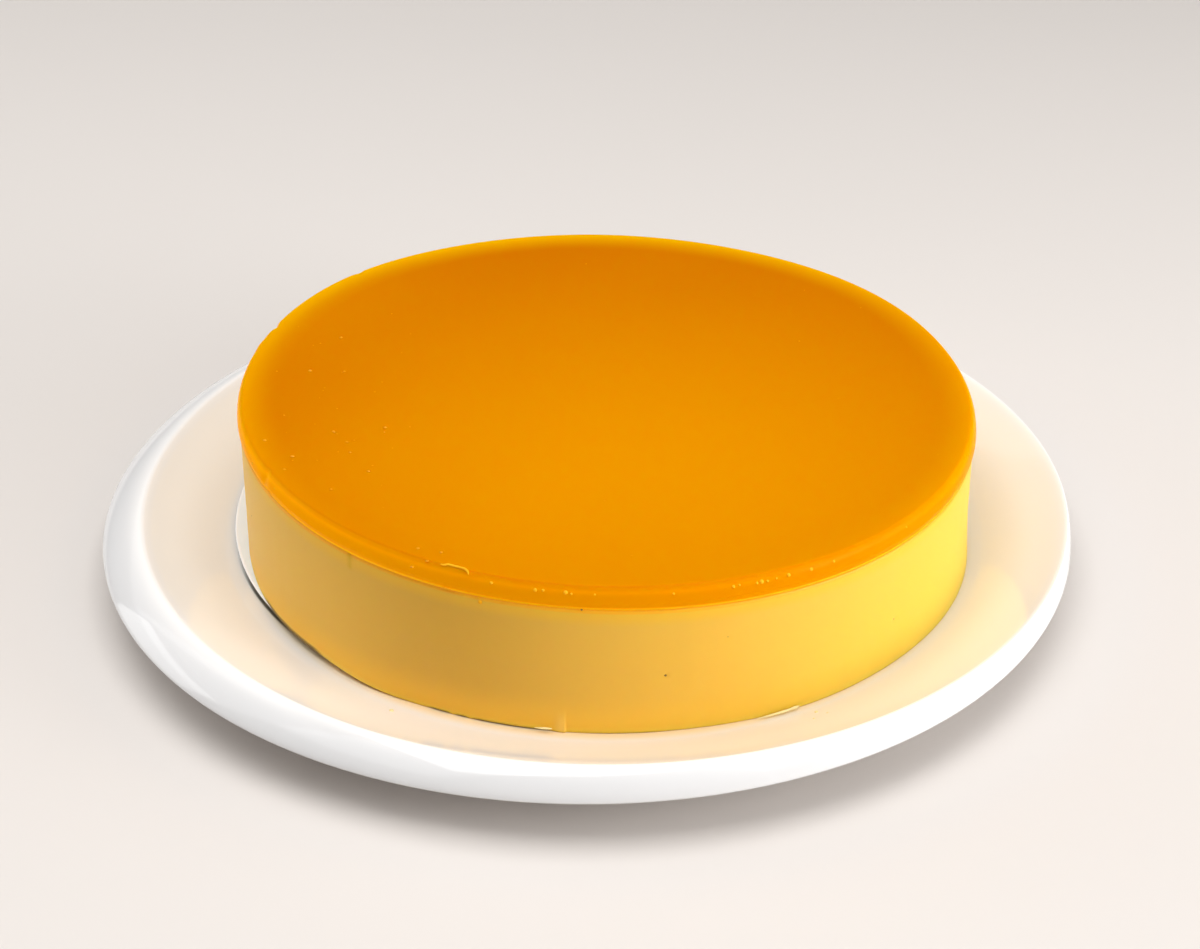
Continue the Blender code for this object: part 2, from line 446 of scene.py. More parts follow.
# Small pits in the side: degrees round, height above the base, size, depth
SIDE_PITS = (
    (7.7, 11.7 * MM, 0.45 * MM, 0.25 * MM),
    (16.6, 18.8 * MM, 0.40 * MM, 0.18 * MM),
    (46.7, 8.8 * MM, 0.60 * MM, 0.30 * MM),
    (-39.4, 25.6 * MM, 0.45 * MM, 0.25 * MM),
)


def mousse_section():
    """Top, straight side, foot and base, whose outer ring has rows enough to bend down."""
    top_round, foot_round = 0.5 * MM, 0.15 * MM
    top_flat, foot_flat = MOUSSE_TOP_RADIUS - top_round, MOUSSE_BASE_RADIUS - foot_round
    ring_radius = 62.0 * MM
    top = straight((0.0, SEAM_Z), (top_flat, SEAM_Z), 5)
    top_edge = arc((top_flat, SEAM_Z - top_round), (top_round, top_round), 90.0, 0.0, 5)
    foot = arc((foot_flat, CAKE_BASE_Z + foot_round), (foot_round, foot_round), 0.0, -90.0, 6)
    side = straight(top_edge[:, -1], foot[:, 0], 68)
    ring = straight(foot[:, -1], (ring_radius, CAKE_BASE_Z), 12)
    base = straight(ring[:, -1], (0.0, CAKE_BASE_Z), 3)
    return joined(top, top_edge, side, foot, ring, base)


def board_overhang(angles):
    """How far the cake's edge stands out past the card at each angle around the cake."""
    edge = turned(MOUSSE_BASE_RADIUS, 0.0, angles, cake_centre)[..., :2]
    return np.linalg.norm(edge - board_centre, axis=-1) - BOARD_RADIUS


def lifted_foot(angles):
    """1 where the foot stands just clear of the plate, left of the front, broken by two gaps."""
    lifted = window((-28.0, -26.5), (-9.5, -7.5), apart(angles))
    for gap in FOOT_GAPS:
        lifted = lifted * (1.0 - hump(apart(angles, gap), FOOT_GAP_WIDTH))
    return lifted


def side_wave(degrees, above_base):
    """How far the side stands out of round: sines of 2, 3 and 7 slow waves around, and fine
    upright streaks, which are sines of 61 and 97 waves."""
    turn = np.radians(degrees)
    wave = 0.07 * np.sin(2 * turn + 2.2) + 0.04 * np.sin(3 * turn + 0.5)
    wave = wave + 0.025 * np.sin(7 * turn + above_base * 90.0)
    streaks = np.sin(61 * turn + 3.0 * np.sin(5 * turn)) + 0.7 * np.sin(97 * turn + 1.0)
    return (wave + 0.006 * streaks * (1.0 + np.sin(11 * turn))) * MM


def moulding_tab(angles, above_base):
    """1 on the moulding tab: a window about 2 mm wide, fading out up the side."""
    tab = window((-1.5 * MM, 0.1 * MM), (0.8 * MM, 1.25 * MM), along_edge(angles, TAB_PLACE))
    return tab * (1.0 - smooth_step(0.3 * MM, 5.2 * MM, above_base))


def fade_up(above_base, reach):
    """1 at the base, falling evenly to 0 so high above it."""
    return np.clip(1.0 - above_base / reach, 0.0, 1.0)


def side_relief(angles, above_base):
    """How far the side stands out, further than its waves: the foot spreads at the right, swells
    a little at the left and is drawn in at the front, a low swelling stands on the right, and
    the pits go in. All are humps, but for the window of the front."""
    spread = hump(apart(angles, 69.0), 26.0) * fade_up(above_base, 11.0 * MM)
    swell = hump(apart(angles, -60.0), 14.0) * fade_up(above_base, 8.0 * MM)
    drawn_in = window((-40.0, -26.0), (8.0, 34.0), apart(angles)) * fade_up(above_base, 14.0 * MM)
    bulge = hump(apart(angles, 86.0), 2.8648) * hump(above_base - 11.0 * MM, 2.2 * MM)
    pits = sum(depth * hump(np.hypot(along_edge(angles, place), above_base - level), size)
               for place, level, size, depth in SIDE_PITS)
    foot = SPREAD_OUT * spread ** 1.5 + SWELL_OUT * swell - FRONT_IN * drawn_in
    return foot + LOW_OUT * bulge - pits


def foot_sag(angles, radius, above_base):
    """How far the foot hangs down past the card: almost to the plate, by smooth steps with the
    overhang, outwards from the card's edge and down the side."""
    overhang = board_overhang(angles)
    depth = FOOT_HANG - FOOT_CLEAR * lifted_foot(angles)
    depth = depth * smooth_step(1.4 * MM, 4.0 * MM, overhang)
    past_card = radius - (MOUSSE_BASE_RADIUS - overhang)
    near_base = 1.0 - smooth_step(0.0, 9.0 * MM, above_base)
    return depth * smooth_step(0.2 * MM, 1.6 * MM, past_card) * near_base


def painted_foot_shadow(angles, above_base):
    """1 on the dark line along the foot, a painted shadow: thin where it is lifted, faint at the
    very front and broader at the left, beside the card."""
    at_left = window((-68.0, -63.0), (-50.0, -44.0), apart(angles))
    near_foot = 1.0 - smooth_step((0.05 + 0.40 * at_left) * MM, (0.30 + 0.50 * at_left) * MM,
                                  above_base)
    line = lifted_foot(angles) + 0.45 * hump(apart(angles, 3.0), 9.1673) + at_left
    return near_foot * np.clip(line, 0.0, 1.0)


def make_mousse():
    """A turned disc, a little out of round, that sags to the plate where the card ends short.

    Its marks are the level up its side, the stretches painted in shade, painted lighter on the lit
    side or given a painted sheen, the painted shadow along the foot, the moulding tab and the drip.
    """
    section = mousse_section()
    angles = crowded(MOUSSE_COLUMNS, TAB_PLACE, CROWD_WIDTH, CROWD_GAIN)
    radius, height = section[0][:, None], section[1][:, None]
    above_base = height - CAKE_BASE_Z
    on_side = smooth_step(MOUSSE_TOP_RADIUS - 3.0 * MM, MOUSSE_TOP_RADIUS - 0.3 * MM, radius)
    tab = moulding_tab(angles, above_base)
    relief = side_wave(apart(angles), above_base) + side_relief(angles, above_base)
    relief = relief + TAB_OUT * tab
    reach = radius * (1.0 + out_of_round(angles) / CAKE_RADIUS) + on_side * relief
    lowered = height - foot_sag(angles, radius, above_base)
    drip = hump(along_edge(angles, DRIP_PLACE), DRIP_WIDTH)
    return turned_surface(
        "yellow_mousse", sloped(turned(reach, lowered, angles, cake_centre)),
        level=np.clip(above_base / MOUSSE_HEIGHT, 0.0, 1.0) * on_side,
        # Painted shade at the front left, painted light on the lit right side and a painted sheen
        # at the left
        deeper=hump(apart(angles, -24.0), 15.0) * on_side,
        dry=hump(apart(angles, 70.0), 38.0) * on_side,
        paler=hump(apart(angles, -84.0), 20.0) * on_side,
        # painted shadow along the foot
        foot=painted_foot_shadow(angles, above_base) * (1.0 - tab),
        tab=tab,
        drip=drip * smooth_step(*DRIP_END, above_base) * on_side)


# -------- jelly

# How high one sine of the top's waves is, and how far the top lies below its edge
TOP_WAVE, TOP_DISH = 0.018 * MM, 0.10 * MM
# Small faults in the jelly's edge: degrees round, width in degrees, inward depth, sink
EDGE_FAULTS = (
    (-109.6, 1.0, 0.62 * MM, 0.30 * MM),
    (-133.2, 0.8, 0.40 * MM, 0.20 * MM),
    (-103.0, 1.4, -0.16 * MM, 0.0),
    (-61.5, 0.8, 0.30 * MM, 0.20 * MM),
)


def jelly_section():
    """Top, with more rows near its edge, soft shoulder, short side, small foot and base."""
    shoulder_start, inner_radius = CAKE_RADIUS - SHOULDER_IN, 60.0 * MM
    foot_in, foot_down = 0.2 * MM, 0.25 * MM
    top = joined(straight((0.0, CAKE_TOP_Z), (inner_radius, CAKE_TOP_Z), 26),
                 straight((inner_radius, CAKE_TOP_Z), (shoulder_start, CAKE_TOP_Z), 24))
    shoulder = arc((shoulder_start, CAKE_TOP_Z - SHOULDER_DOWN), (SHOULDER_IN, SHOULDER_DOWN),
                   90.0, 0.0, 16)
    foot = arc((JELLY_BASE_RADIUS - foot_in, SEAM_Z + foot_in), (foot_in, foot_down),
               0.0, -90.0, 4)
    side = straight(shoulder[:, -1], foot[:, 0], 8)
    base = straight(foot[:, -1], (0.0, foot[1, -1]), 4)
    return joined(top, shoulder, side, foot, base)


def make_jelly():
    """A turned disc whose top swells to the edge, waves very slightly and rolls over to its side.

    Its marks are how far inland a point is, its level, how near the front it is, and how far
    round to the shaded left.
    """
    section = jelly_section()
    angles = around(JELLY_COLUMNS)
    radius, height = section[0][:, None], section[1][:, None]
    rim = smooth_step(CAKE_RADIUS - 2.0 * MM, CAKE_RADIUS - 0.6 * MM, radius)
    upper = smooth_step(SEAM_Z + 1.5 * MM, CAKE_TOP_Z - 0.3 * MM, height)

    x, y = radius * np.cos(angles) / CAKE_RADIUS, radius * np.sin(angles) / CAKE_RADIUS
    wave = np.sin(4.1 * x + 1.0 + 1.7 * y) + np.sin(5.3 * y - 2.2 * x + 0.4)
    wave = wave + 0.6 * np.sin(9.0 * x - 6.0 * y + 2.0)
    dish = 1.0 - smooth_step(67.0 * MM, 73.0 * MM, radius)
    lifted = height + upper * (TOP_WAVE * wave - TOP_DISH * dish)
    reach = radius + rim * (0.05 * np.sin(2 * angles + 0.6) + 0.03 * np.sin(5 * angles)) * MM
    for place, width, depth, sink in EDGE_FAULTS:
        fault = rim * hump(apart(angles, place), width)
        reach = reach - depth * fault
        lifted = lifted - sink * upper * fault
    reach = reach * (1.0 + out_of_round(angles) / CAKE_RADIUS)

    inland = np.clip((CAKE_RADIUS - radius) / (12.0 * MM), 0.0, 1.0)
    return turned_surface(
        "orange_jelly", sloped(turned(reach, lifted, angles, cake_centre)),
        inland=inland * (height > SEAM_Z + 0.1 * MM),
        level=np.clip((lifted - SEAM_Z) / JELLY_THICKNESS, 0.0, 1.0),
        front=np.exp(-(apart(angles, -5.1566) / 57.869) ** 4),
        shaded=0.5 - 0.5 * np.cos(angles))


# -------- small things

# Bubbles in the jelly's top: millimetres right of the cake's axis and behind it, and their radius
TOP_BUBBLES = np.array((
    (-56.0, 20.0, 0.40), (-61.0, 5.0, 0.48), (-54.0, 5.0, 0.32), (-54.0, -20.0, 0.42),
    (-67.0, -24.0, 0.50), (-44.0, -18.0, 0.45), (-51.0, -24.0, 0.34), (-50.0, -28.0, 0.30),
    (-61.0, -30.0, 0.46), (-62.0, -35.0, 0.42), (-46.0, -35.0, 0.40), (-34.9, -62.2, 0.45),
    (-33.0, -66.4, 0.34), (-30.6, -63.4, 0.40), (-35.6, -68.4, 0.38), (-52.5, -42.0, 0.36),
))
# Bubbles on its rounded edge: degrees round, millimetres below the top, and their radius
EDGE_BUBBLES = np.array((
    (-16.6, 1.2, 0.34), (-10.4, 1.3, 0.40), (-9.3, 1.2, 0.30), (-6.2, 1.2, 0.44),
    (-5.4, 1.4, 0.26), (-2.2, 1.3, 0.22), (8.6, 1.3, 0.26), (17.1, 1.2, 0.34), (18.0, 1.1, 0.26),
    (21.3, 1.2, 0.46), (20.6, 1.3, 0.30), (22.2, 1.3, 0.28), (23.6, 1.2, 0.24), (25.5, 1.1, 0.42),
    (29.2, 1.2, 0.40), (33.1, 1.1, 0.32), (48.0, 1.2, 0.24), (-71.0, 1.3, 0.30),
    (-58.0, 1.6, 0.28),
))
# How many more bubbles are scattered: fine ones by the left, anywhere, and on the edge behind
FINE_AT_LEFT, FINE_ANYWHERE, EDGE_BEHIND = 30, 16, 26
BUBBLE_SEED, FLECK_SEED = 7, 11
# A curl of jelly on the top: millimetres right of the cake's axis and behind it
CURL = np.array((
    (-30.6, -67.4), (-30.0, -67.8), (-29.2, -67.5), (-28.4, -67.9),
    (-27.2, -68.4), (-26.2, -68.8), (-25.6, -69.6), (-25.3, -71.0),
))
# The foot of the cake is wet in two places: degrees round, then in millimetres how far out past
# the cake's radius, the height, the half width and the half height
LEFT_BEAD = np.array((
    (-10.9, -0.50, 8.0, 0.12, 0.12), (-9.9, -0.42, 8.1, 0.22, 0.17),
    (-9.1, -0.38, 8.2, 0.26, 0.20), (-8.2, -0.42, 8.2, 0.20, 0.17),
))
RIGHT_BEAD = np.array((
    (21.2, 0.05, 7.50, 0.14, 0.14), (23.2, 0.14, 7.55, 0.20, 0.22),
    (25.6, 0.20, 7.60, 0.24, 0.27), (26.5, 0.14, 7.60, 0.18, 0.20),
    (27.4, 0.24, 7.75, 0.34, 0.40), (28.3, 0.12, 7.70, 0.24, 0.26),
))
# Drops on the plate: degrees round, millimetres past the cake's radius, radius, and flatness
PLATE_DROPS = np.array((
    (29.6, 3.0, 0.40, 0.45), (28.0, 5.5, 0.30, 0.45), (30.4, 5.0, 0.26, 0.45),
    (-31.4, 3.4, 0.45, 0.60),
))


def make_top_bubbles(chance):
    """Air bubbles in the jelly's top: those of the left, and a fine scatter drawn by chance."""
    count = FINE_AT_LEFT + FINE_ANYWHERE
    angle = from_front(np.concatenate((chance.normal(-68.0, 20.0, FINE_AT_LEFT),
                                       chance.uniform(-180.0, 180.0, FINE_ANYWHERE))))
    reach = CAKE_RADIUS * (0.96 - 0.40 * chance.random(count) ** 1.4)
    fine = np.column_stack((reach * np.cos(angle), reach * np.sin(angle),
                            chance.uniform(0.10, 0.22, count) * MM))
    bubbles = np.vstack((TOP_BUBBLES * MM, fine))
    sunk = np.full(len(bubbles), CAKE_TOP_Z - 0.12 * MM)
    centres = sloped(np.column_stack((cake_centre + bubbles[:, :2], sunk)))
    return mesh_object("top_bubbles", [domes(centres, UPWARD, bubbles[:, 2], 0.5)])


def make_edge_bubbles(chance):
    """Air bubbles on the jelly's shoulder, square to it: those of the front, and more behind.

    At a drop d below the top the shoulder is tilted by the angle whose cosine is
    1 - d / SHOULDER_DOWN.
    """
    more = np.column_stack((chance.uniform(60.0, 300.0, EDGE_BEHIND),
                            chance.uniform(1.0, 2.4, EDGE_BEHIND),
                            chance.uniform(0.16, 0.32, EDGE_BEHIND)))
    degrees, drop, size = np.vstack((EDGE_BUBBLES, more)).T
    drop, size = drop * MM, size * MM
    tilt = np.arccos(1.0 - np.clip(drop / SHOULDER_DOWN, 0.0, 1.0))
    reach = CAKE_RADIUS - SHOULDER_IN + (SHOULDER_IN - 0.08 * MM) * np.sin(tilt)
    centres = around_cake(degrees, reach, CAKE_TOP_Z - drop)
    return mesh_object("edge_bubbles", [domes(centres, outward(degrees, tilt), size, 0.6, 8, 3)])


def make_jelly_curl():
    """A fine curl of set jelly on the top, near the front left edge, and a dash of jelly and two
    small drips at the seam below it."""
    path = smooth_path(CURL * MM, 48)
    path = sloped(np.column_stack((cake_centre + path, np.full(len(path), CAKE_TOP_Z - 0.05 * MM))))
    width = 0.25 * MM * tapered(len(path), 4)
    way = np.linspace(0.0, 1.0, 24)
    dash = around_cake(-24.2 + 1.9 * way, CAKE_RADIUS - 0.15 * MM, SEAM_Z + 0.35 * MM)
    dash_width = 0.18 * MM * np.sin(math.pi * way)
    drips = np.array((-18.3, -18.5))
    below_seam = np.array((0.9, 0.1)) * MM
    centres = around_cake(drips, CAKE_RADIUS - 0.35 * MM, SEAM_Z - below_seam)
    size, flatness = np.array((0.42, 0.26)) * MM, np.array((0.8, 0.7))
    return mesh_object("jelly_curl", [strand(path, width, width, 8),
                                      strand(dash, dash_width, dash_width, 8),
                                      domes(centres, outward(drips), size, flatness)])


def bead(stations):
    """Syrup along the foot of the cake, a strand through its stations with rounded ends."""
    table = smooth_path(stations, 40)
    out, height, across, upward = table[:, 1:].T * MM
    path, end = around_cake(table[:, 0], CAKE_RADIUS + out, height), tapered(len(table), 2)
    return strand(path, across * end, upward * end, 12)


def make_beads():
    """Two beads of syrup along the foot of the cake, and a few drops on the plate's well, whose
    height grows with a power of the way from its floor to the lip."""
    degrees, out, size, flatness = PLATE_DROPS.T
    drops = around_cake(degrees, CAKE_RADIUS + out * MM, FLOOR_Z)
    from_lip = np.linalg.norm(drops[:, :2] - LIP_CENTRE, axis=1)
    way = np.clip((from_lip - FLOOR_RADIUS) / (LIP_RADIUS - 0.7 * MM - FLOOR_RADIUS), 0.0, 1.0)
    drops[:, 2] = FLOOR_Z + (LIP_Z - 0.5 * MM - FLOOR_Z) * way ** WELL_POWER
    return mesh_object("syrup_beads", [bead(LEFT_BEAD), bead(RIGHT_BEAD),
                                       domes(drops, UPWARD, size * MM, flatness)])


def make_flecks():
    """Dark flecks of fruit in the mousse's side: one in each pit, one at the seam, more behind."""
    chance = np.random.default_rng(FLECK_SEED)
    more = 9
    pit_place, pit_level, pit_size, pit_depth = np.array(SIDE_PITS).T
    place = np.concatenate((pit_place, [-4.0], chance.uniform(70.0, 300.0, more)))
    level = np.concatenate((pit_level, [26.3 * MM], chance.uniform(3.0, 24.0, more) * MM))
    size = np.concatenate((pit_size * 0.55, [0.22 * MM], chance.uniform(0.14, 0.24, more) * MM))
    inset = np.concatenate((pit_depth + 0.02 * MM, np.full(1 + more, 0.03 * MM)))
    taper = (MOUSSE_TOP_RADIUS - MOUSSE_BASE_RADIUS) * level / MOUSSE_HEIGHT
    reach = MOUSSE_BASE_RADIUS + taper - inset + side_wave(place, level)
    centres = around_cake(place, reach, CAKE_BASE_Z + level)
    return mesh_object("mousse_flecks", [domes(centres, outward(place), size, 0.35, 8, 3)])


# -------- materials

def operator_pair(operation):
    """The methods of one operator and of its reflected form, which add a Math node."""
    def math_node(paint, first, second):
        node = paint.node("ShaderNodeMath", {"operation": operation}, {0: first, 1: second})
        return Field(paint, node.outputs[0])

    return (lambda self, other: math_node(self.paint, self, other),
            lambda self, other: math_node(self.paint, other, self))


class Field:
    """A value or colour in a material's nodes. + - * and ** with numbers or Fields add Math."""

    def __init__(self, paint, socket):
        self.paint = paint
        self.socket = socket

    __add__, __radd__ = operator_pair("ADD")
    __sub__, __rsub__ = operator_pair("SUBTRACT")
    __mul__, __rmul__ = operator_pair("MULTIPLY")
    __pow__, __rpow__ = operator_pair("POWER")

    def between(self, low, high):
        """0 at low, 1 at high, smooth and clamped between."""
        node = self.paint.node("ShaderNodeMapRange", {"interpolation_type": "SMOOTHSTEP"},
                               {"Value": self, "From Min": low, "From Max": high})
        return Field(self.paint, node.outputs[0])


class Paint:
    """One material and the nodes that feed its Principled shader."""

    def __init__(self, name):
        self.material = bpy.data.materials.new(name)
        self.material.use_nodes = True
        self.tree = self.material.node_tree
        self.shader = self.tree.nodes["Principled BSDF"]

    def node(self, kind, settings=None, sockets=None):
        """A node of a kind, with its settings, then the values or links of its sockets."""
        made = self.tree.nodes.new(kind)
        for name, value in (settings or {}).items():
            setattr(made, name, value)
        for name, value in (sockets or {}).items():
            self._feed(made.inputs[name], value)
        return made

    def _feed(self, socket, value):
        if isinstance(value, Field):
            self.tree.links.new(value.socket, socket)
        elif isinstance(value, tuple) and len(value) == 3 and socket.type == "RGBA":
            socket.default_value = (*value, 1.0)
        else:
            socket.default_value = value

    def place(self):
        """Object coordinates, in metres."""
        return Field(self, self.node("ShaderNodeTexCoord").outputs["Object"])

    def away(self, x, y, z):
        """Distance from a point, in metres."""
        node = self.node("ShaderNodeVectorMath", {"operation": "DISTANCE"},
                         {0: self.place(), 1: (float(x), float(y), float(z))})
        return Field(self, node.outputs["Value"])

    def mark(self, name):
        """The piece's own number of that name."""
        node = self.node("ShaderNodeAttribute", {"attribute_name": name})
        return Field(self, node.outputs["Fac"])

    def noise(self, scale, detail=3.0, roughness=0.5, stretch=(1.0, 1.0, 1.0)):
        """Noise from 0 to 1 with that many waves in a metre, stretched along the axes."""
        mapped = self.node("ShaderNodeMapping", {}, {"Vector": self.place(), "Scale": stretch})
        node = self.node("ShaderNodeTexNoise", {},
                         {"Vector": Field(self, mapped.outputs[0]), "Scale": scale,
                          "Detail": detail, "Roughness": roughness})
        return Field(self, node.outputs["Fac"])

    def cells(self, scale):
        """Distance to the nearest of scattered points, that many to a metre."""
        node = self.node("ShaderNodeTexVoronoi", {}, {"Vector": self.place(), "Scale": scale})
        return Field(self, node.outputs["Distance"])

    def mix(self, first, second, amount):
        """Colours first to second by amount, 0 to 1."""
        node = self.node("ShaderNodeMix", {"data_type": "RGBA"}, {0: amount, 6: first, 7: second})
        return Field(self, node.outputs[2])

    def coated(self, colour, *coats):
        """A colour under coats of other colours, each with its amount, the last one on top."""
        for coat, amount in coats:
            colour = self.mix(colour, coat, amount)
        return colour

    def bump(self, height, depth, strength, under=None):
        """A normal from a height, whose full range stands depth metres proud."""
        sockets = {"Height": height, "Distance": depth, "Strength": strength}
        if under is not None:
            sockets["Normal"] = under
        return Field(self, self.node("ShaderNodeBump", {}, sockets).outputs[0])

    def set(self, **sockets):
        """Values or links for the shader, named with _ for spaces."""
        for name, value in sockets.items():
            self._feed(self.shader.inputs[name.replace("_", " ").title().replace("Ior", "IOR")],
                       value)


def glaze():
    """White glaze: a faint cream inside the lip, painted lighter and yellower there for light
    bounced from the cake, a painted highlight on its crest, painted light bounced from the foot of
    the cake and a painted shadow beside the card at the left, with bare clay under the foot."""
    bright, painted_bounce_light, painted_card_shadow = (0.99, 0.98, 0.965), (1.0, 0.79, 0.46), (0.09, 0.075, 0.055)
    paint = Paint("white_glaze")
    cloud = paint.noise(26.0, 2.0)
    white = paint.mix((0.82, 0.812, 0.81), (0.79, 0.782, 0.78), cloud)
    # A faint cream, painted lighter and yellower than the rim for light bounced from the cake
    cream = paint.mix((0.91, 0.885, 0.84), (0.885, 0.86, 0.815), cloud)
    clay = paint.mix((0.62, 0.52, 0.42), (0.72, 0.62, 0.51), paint.noise(900.0, 4.0))
    from_cake, from_card = paint.away(*cake_centre, FLOOR_Z), paint.away(*board_centre, FLOOR_Z)
    # Painted light bounced from the cake's foot onto the plate beside it
    by_foot = 1.0 - from_cake.between(CAKE_RADIUS - 0.8 * MM, CAKE_RADIUS + 1.4 * MM)
    # Painted shadow in the gap under the card's edge, at the left
    by_card = 1.0 - from_card.between(BOARD_RADIUS + 0.05 * MM, BOARD_RADIUS + 0.50 * MM)
    bare = paint.mark("bare_foot")
    colour = paint.coated(
        white,
        (cream, paint.mark("well")),
        # painted highlight on the crest of the lip
        (bright, 0.9 * paint.mark("crest")),
        (painted_bounce_light, 0.8 * by_foot),
        (painted_card_shadow, 0.9 * by_card * paint.mark("beside_card")),
        (clay, bare))
    paint.set(base_color=colour, roughness=0.035 + 0.03 * paint.noise(60.0, 2.0) + 0.6 * bare,
              ior=1.5,
              normal=paint.bump(paint.noise(45.0, 2.0), 0.10 * MM, 0.25))
    return paint


def card():
    """White coated card with fine fibres, a whiter rim as a painted highlight, a grey cut edge
    painted darker for the shadow under it, and painted shade where the cake overhangs it.
    """
    rim, soaked = (1.0, 1.0, 1.0), (0.060, 0.040, 0.012)
    paint = Paint("white_card")
    fibre = paint.noise(1500.0, 4.0, 0.6, (1.0, 0.35, 1.0))
    face = paint.mix((0.91, 0.97, 1.0), (0.88, 0.94, 0.99), fibre)
    # The grey cut edge, painted darker for the shadow in the gap below it
    edge = paint.mix((0.20, 0.19, 0.18), (0.12, 0.11, 0.10), fibre)
    colour = paint.coated(
        face,
        (edge, paint.mark("cut_edge")),
        # painted highlight along the rounded rim
        (rim, paint.mark("rim")),
        # painted shade under the cake's overhang
        (soaked, paint.mark("soaked")))
    paint.set(base_color=colour, roughness=0.30 + 0.15 * fibre,
              normal=paint.bump(fibre, 0.03 * MM, 0.4))
    return paint


def mousse():
    """Pale yellow mousse, moist and finely aerated, richer in colour towards its damp base.

    Painted shade lies on one stretch of the side at the front left, a painted sheen at the left,
    and painted light, more lemon yellow, on the lit right side and at the foot, which has a painted
    shadow under it. The top of it takes on the jelly's orange, up to a bright line at the seam.
    """
    deeper, paler, lemon = (0.785, 0.435, 0.036), (0.95, 0.59, 0.135), (0.90, 0.60, 0.045)
    painted_foot_light, pale_tab = (1.0, 0.74, 0.090), (0.98, 0.59, 0.110)
    under_seam, seam_line = (0.94, 0.52, 0.015), (1.0, 0.47, 0.010)
    drip, painted_gap_shadow = (0.76, 0.42, 0.0), (0.12, 0.065, 0.010)
    paint = Paint("yellow_mousse")
    cloud = paint.noise(38.0, 3.0)
    grain = paint.noise(2600.0, 3.0, 0.6)
    level, dry = paint.mark("level"), paint.mark("dry")
    yellow = paint.mix((0.88, 0.51, 0.060), (0.86, 0.49, 0.048), cloud)
    # The damp base, painted lighter on the lit right side
    damp = paint.mix((1.0, 0.52, 0.028), (1.0, 0.74, 0.070), dry ** 0.5)
    colour = paint.coated(
        yellow,
        # painted shade at the front left
        (deeper, paint.mark("deeper")),
        # a painted sheen at the left
        (paler, 0.85 * paint.mark("paler")),
        # painted light, lemon yellow, on the lit right side
        (lemon, 0.45 * dry),
        (damp, 0.65 * (1.0 - level.between(0.02, 0.30))),
        # painted light on the foot, bounced from the plate
        (painted_foot_light, 0.35 * (1.0 - level.between(0.0, 0.06))),
        (pale_tab, 0.75 * paint.mark("tab")),
        (under_seam, 0.7 * level.between(0.86, 0.96)),
        (seam_line, level.between(0.970, 0.985)),
        (drip, 0.85 * paint.mark("drip")),
        # painted shadow in the gap under the foot
        (painted_gap_shadow, 0.90 * paint.mark("foot")))
    pores = 1.0 - paint.cells(700.0).between(0.05, 0.35)
    paint.set(base_color=colour, roughness=0.42 + 0.12 * grain,
              subsurface_weight=0.35, subsurface_radius=(1.0, 0.55, 0.2),
              subsurface_scale=2.5 * MM, ior=1.38,
              normal=paint.bump(grain, 0.02 * MM, 0.35, paint.bump(pores, -0.05 * MM, 0.15)))
    return paint


def jelly():
    """Clear orange jelly: darker towards its back, partly as thicker jelly and partly as painted
    shade, and lighter where light comes in at the edge.

    Light that enters its top and leaves by its side shows there as a faint glow, stronger on
    the side away from the windows.
    """
    shoulder, side, seam_line = (0.78, 0.31, 0.0), (0.60, 0.188, 0.0), (1.0, 0.42, 0.010)
    no_glow, full_glow = (0.0, 0.0, 0.0), (0.42, 0.172, 0.0)
    paint = Paint("orange_jelly")
    cloud = paint.noise(14.0, 2.0)
    # Thin and thick: darker towards the back, partly the jelly's depth and partly painted shade
    # where the light falls off
    thin = paint.mix((0.705, 0.243, 0.0), (0.690, 0.236, 0.0), cloud)
    thick = paint.mix((0.540, 0.136, 0.0), (0.525, 0.129, 0.0), cloud)
    from_thin_and_lit = paint.away(cake_centre[0] + 10.0 * MM, cake_centre[1] - 40.0 * MM, CAKE_TOP_Z)
    inland, level, shaded = paint.mark("inland"), paint.mark("level"), paint.mark("shaded")
    narrow, wide = 1.0 - inland.between(-0.10, 0.72), 1.0 - inland.between(-0.10, 0.78)
    edge_light = narrow + (wide - narrow) * from_thin_and_lit.between(85.0 * MM, 112.0 * MM)
    ring = paint.mix((0.73, 0.275, 0.0), (0.81, 0.410, 0.0),
                     from_thin_and_lit.between(80.0 * MM, 118.0 * MM))
    colour = paint.coated(
        paint.mix(thin, thick, from_thin_and_lit.between(0.0, 130.0 * MM)),
        (ring, edge_light * (1.0 - 0.95 * paint.mark("front"))),
        # painted light on the shoulder, strongest on the shaded left, for light through the jelly
        (shoulder, 0.8 * shaded * (1.0 - level.between(0.93, 0.985))),
        (side, 1.0 - level.between(0.62, 1.0)),
        (seam_line, 1.0 - level.between(0.07, 0.15)))
    lets_out = (1.0 - level.between(0.77, 0.985)) * (0.38 + 0.62 * shaded)
    paint.set(base_color=colour, roughness=0.18 + 0.06 * paint.noise(90.0, 3.0),
              emission_color=paint.mix(no_glow, full_glow, lets_out), emission_strength=1.0,
              subsurface_weight=0.85, subsurface_radius=(1.0, 0.5, 0.05),
              subsurface_scale=2.0 * MM, ior=1.33, specular_ior_level=0.008,
              normal=paint.bump(paint.noise(160.0, 3.0), 0.03 * MM, 0.15))
    return paint


def speckled(name, first, second, scale, **sockets):
    """A plain material between two colours, by noise with that many waves in a metre."""
    paint = Paint(name)
    paint.set(base_color=paint.mix(first, second, paint.noise(scale)), **sockets)
    return paint


def bubble():
    """The skin of a small bubble under the jelly's surface."""
    return speckled("jelly_bubble", (0.74, 0.26, 0.002), (0.80, 0.31, 0.006), 400.0,
                    roughness=0.15, ior=1.33, specular_ior_level=0.25)


def glint():
    """Bright thin jelly, lighter still with painted glints: the bubbles on the edge, a curl and
    small drips.
    """
    return speckled("jelly_with_painted_glints", (0.95, 0.38, 0.004), (1.0, 0.52, 0.020), 700.0,
                    roughness=0.25, ior=1.33, specular_ior_level=0.10)


